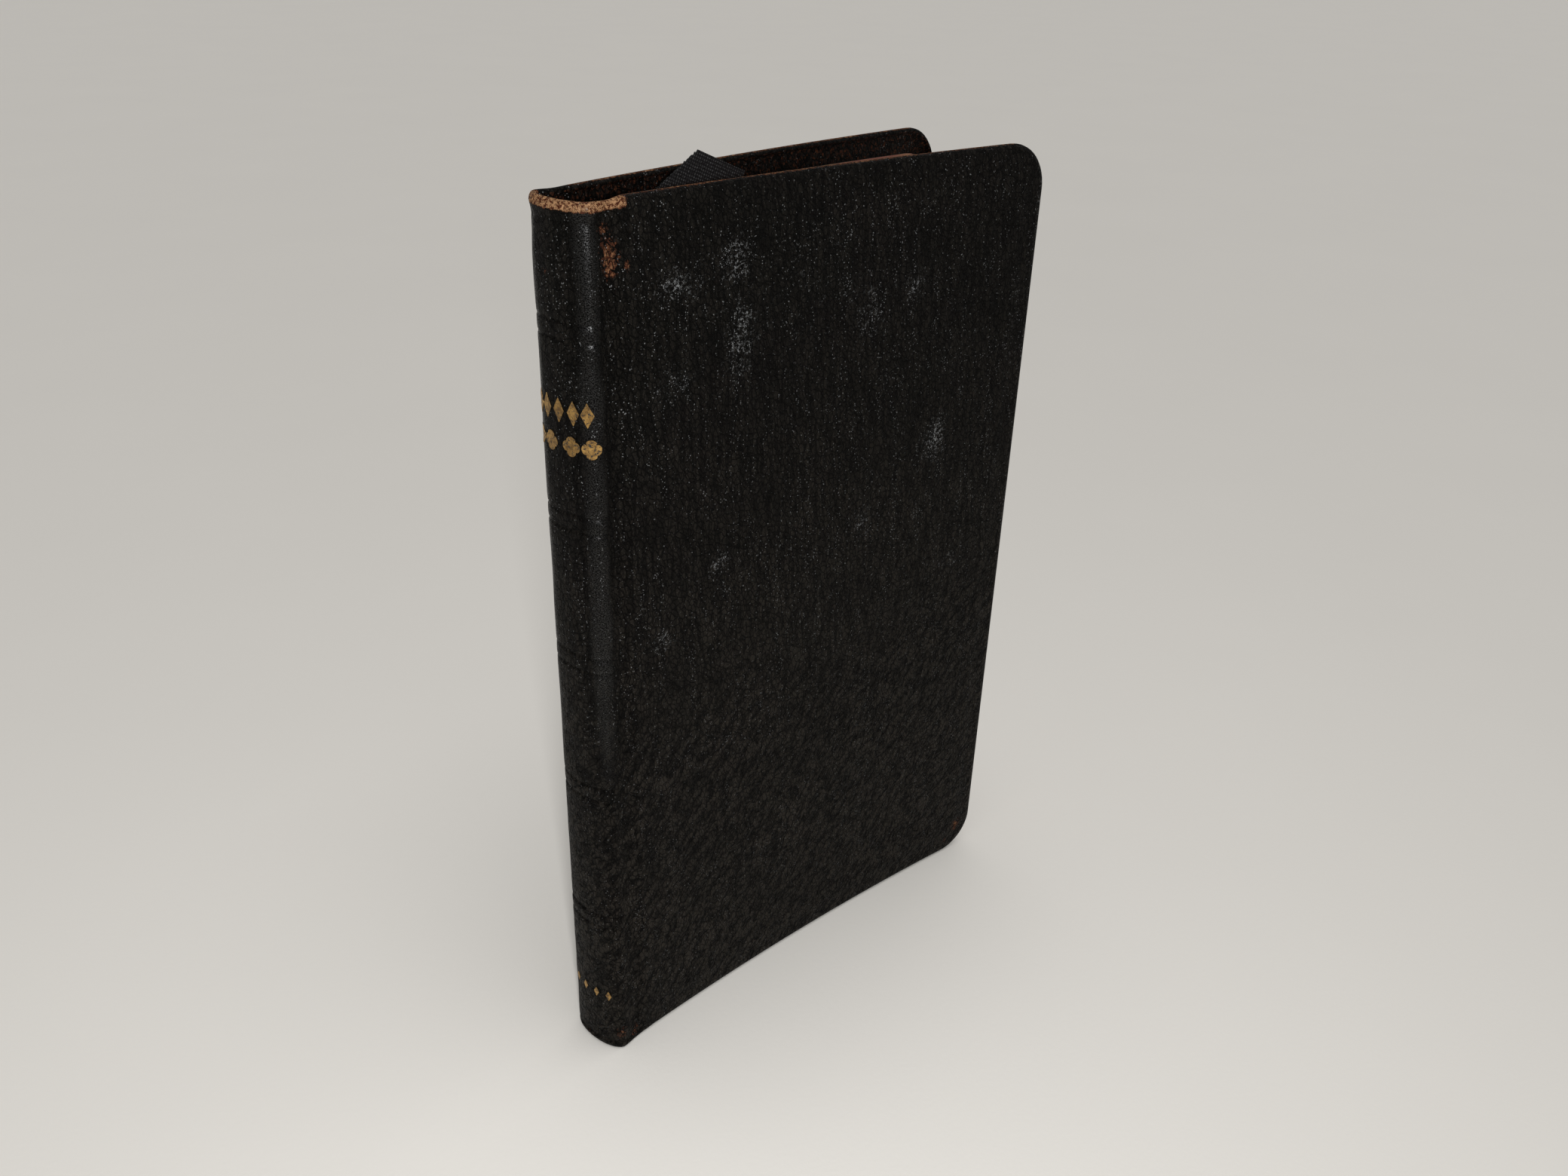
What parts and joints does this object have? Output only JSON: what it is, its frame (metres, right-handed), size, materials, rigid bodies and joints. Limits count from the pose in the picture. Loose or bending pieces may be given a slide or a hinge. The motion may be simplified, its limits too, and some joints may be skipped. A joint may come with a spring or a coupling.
{
  "type": "hymn book",
  "caption": "Pocket devotional book in a limp grained leather cover, standing slightly open, with sewn sections, red edges and a ribbon marker.",
  "frame": {"origin": "middle of the spine's tail edge, on the face it stands on", "axes": "+Z from the tail to the head, +X from the spine to the fore-edge, front cover on the -Y side"},
  "size_m": [0.1089, 0.0316, 0.1745],
  "materials": {
    "leather": "black grained leather, worn at the edges",
    "board": "thin grey-brown card",
    "lining": "kraft paper",
    "mull": "open starched cloth",
    "endpaper": "black endpaper",
    "pages": "thin printing paper with red-stained edges",
    "thread": "linen thread",
    "band": "woven silk bead",
    "gilt": "worn gold leaf",
    "ribbon": "woven black ribbon"
  },
  "bodies": {
    "root": {"spine_leather": "leather", "spine_lining": "lining", "spine_mull": "mull", "sewing_thread": "thread", "head_band": "band", "tail_band": "band", "gilt_title": "gilt", "gilt_foot": "gilt", "ribbon_marker": "ribbon", "section_06": "pages"},
    "front_cover": {"front_cover_leather": "leather", "front_board_card": "board", "front_mull_flange": "mull", "front_pastedown": "endpaper"},
    "front_flyleaf": {"front_flyleaf": "endpaper"},
    "section_01": {"section_01": "pages"},
    "section_02": {"section_02": "pages"},
    "section_03": {"section_03": "pages"},
    "section_04": {"section_04": "pages"},
    "section_05": {"section_05": "pages"},
    "back_cover": {"back_cover_leather": "leather", "back_board_card": "board", "back_mull_flange": "mull", "back_pastedown": "endpaper"},
    "back_flyleaf": {"back_flyleaf": "endpaper"},
    "section_07": {"section_07": "pages"},
    "section_08": {"section_08": "pages"},
    "section_09": {"section_09": "pages"},
    "section_10": {"section_10": "pages"},
    "section_11": {"section_11": "pages"}
  },
  "joints": [
    {"name": "front_cover_open", "type": "hinge", "parent": "root", "child": "front_cover", "pos_m": [0.0024, -0.00675, 0.0855], "axis": [0, 0, -1], "range_deg": [-4.4, 165]},
    {"name": "front_flyleaf_turn", "type": "hinge", "parent": "root", "child": "front_flyleaf", "pos_m": [0.00221, -0.00495, 0.0855], "axis": [0, 0, -1], "range_deg": [-0.79, 29.23]},
    {"name": "section_01_turn", "type": "hinge", "parent": "root", "child": "section_01", "pos_m": [0.00195, -0.00445, 0.0855], "axis": [0, 0, -1], "range_deg": [-0.66, 24.36]},
    {"name": "section_02_turn", "type": "hinge", "parent": "root", "child": "section_02", "pos_m": [0.00173, -0.0036, 0.0855], "axis": [0, 0, -1], "range_deg": [-0.53, 19.49]},
    {"name": "section_03_turn", "type": "hinge", "parent": "root", "child": "section_03", "pos_m": [0.0016, -0.00275, 0.0855], "axis": [0, 0, -1], "range_deg": [-0.4, 14.62]},
    {"name": "section_04_turn", "type": "hinge", "parent": "root", "child": "section_04", "pos_m": [0.00152, -0.0019, 0.0855], "axis": [0, 0, -1], "range_deg": [-0.27, 9.75]},
    {"name": "section_05_turn", "type": "hinge", "parent": "root", "child": "section_05", "pos_m": [0.00147, -0.00105, 0.0855], "axis": [0, 0, -1], "range_deg": [-0.14, 4.88]},
    {"name": "back_cover_open", "type": "hinge", "parent": "root", "child": "back_cover", "pos_m": [0.0024, 0.00675, 0.0855], "axis": [0, 0, 1], "range_deg": [-4.4, 165]},
    {"name": "back_flyleaf_turn", "type": "hinge", "parent": "root", "child": "back_flyleaf", "pos_m": [0.00221, 0.00495, 0.0855], "axis": [0, 0, 1], "range_deg": [-0.79, 29.23]},
    {"name": "section_07_turn", "type": "hinge", "parent": "root", "child": "section_07", "pos_m": [0.00147, 0.00105, 0.0855], "axis": [0, 0, 1], "range_deg": [-0.14, 4.88]},
    {"name": "section_08_turn", "type": "hinge", "parent": "root", "child": "section_08", "pos_m": [0.00152, 0.0019, 0.0855], "axis": [0, 0, 1], "range_deg": [-0.27, 9.75]},
    {"name": "section_09_turn", "type": "hinge", "parent": "root", "child": "section_09", "pos_m": [0.0016, 0.00275, 0.0855], "axis": [0, 0, 1], "range_deg": [-0.4, 14.62]},
    {"name": "section_10_turn", "type": "hinge", "parent": "root", "child": "section_10", "pos_m": [0.00173, 0.0036, 0.0855], "axis": [0, 0, 1], "range_deg": [-0.53, 19.49]},
    {"name": "section_11_turn", "type": "hinge", "parent": "root", "child": "section_11", "pos_m": [0.00195, 0.00445, 0.0855], "axis": [0, 0, 1], "range_deg": [-0.66, 24.36]}
  ],
  "couplings": [
    {"joint": "front_flyleaf_turn", "follows": "front_cover_open", "ratio": 0.1771},
    {"joint": "section_01_turn", "follows": "front_cover_open", "ratio": 0.14758},
    {"joint": "section_02_turn", "follows": "front_cover_open", "ratio": 0.11806},
    {"joint": "section_03_turn", "follows": "front_cover_open", "ratio": 0.088548},
    {"joint": "section_04_turn", "follows": "front_cover_open", "ratio": 0.059032},
    {"joint": "section_05_turn", "follows": "front_cover_open", "ratio": 0.029516},
    {"joint": "back_flyleaf_turn", "follows": "back_cover_open", "ratio": 0.1771},
    {"joint": "section_07_turn", "follows": "back_cover_open", "ratio": 0.029516},
    {"joint": "section_08_turn", "follows": "back_cover_open", "ratio": 0.059032},
    {"joint": "section_09_turn", "follows": "back_cover_open", "ratio": 0.088548},
    {"joint": "section_10_turn", "follows": "back_cover_open", "ratio": 0.11806},
    {"joint": "section_11_turn", "follows": "back_cover_open", "ratio": 0.14758}
  ]
}
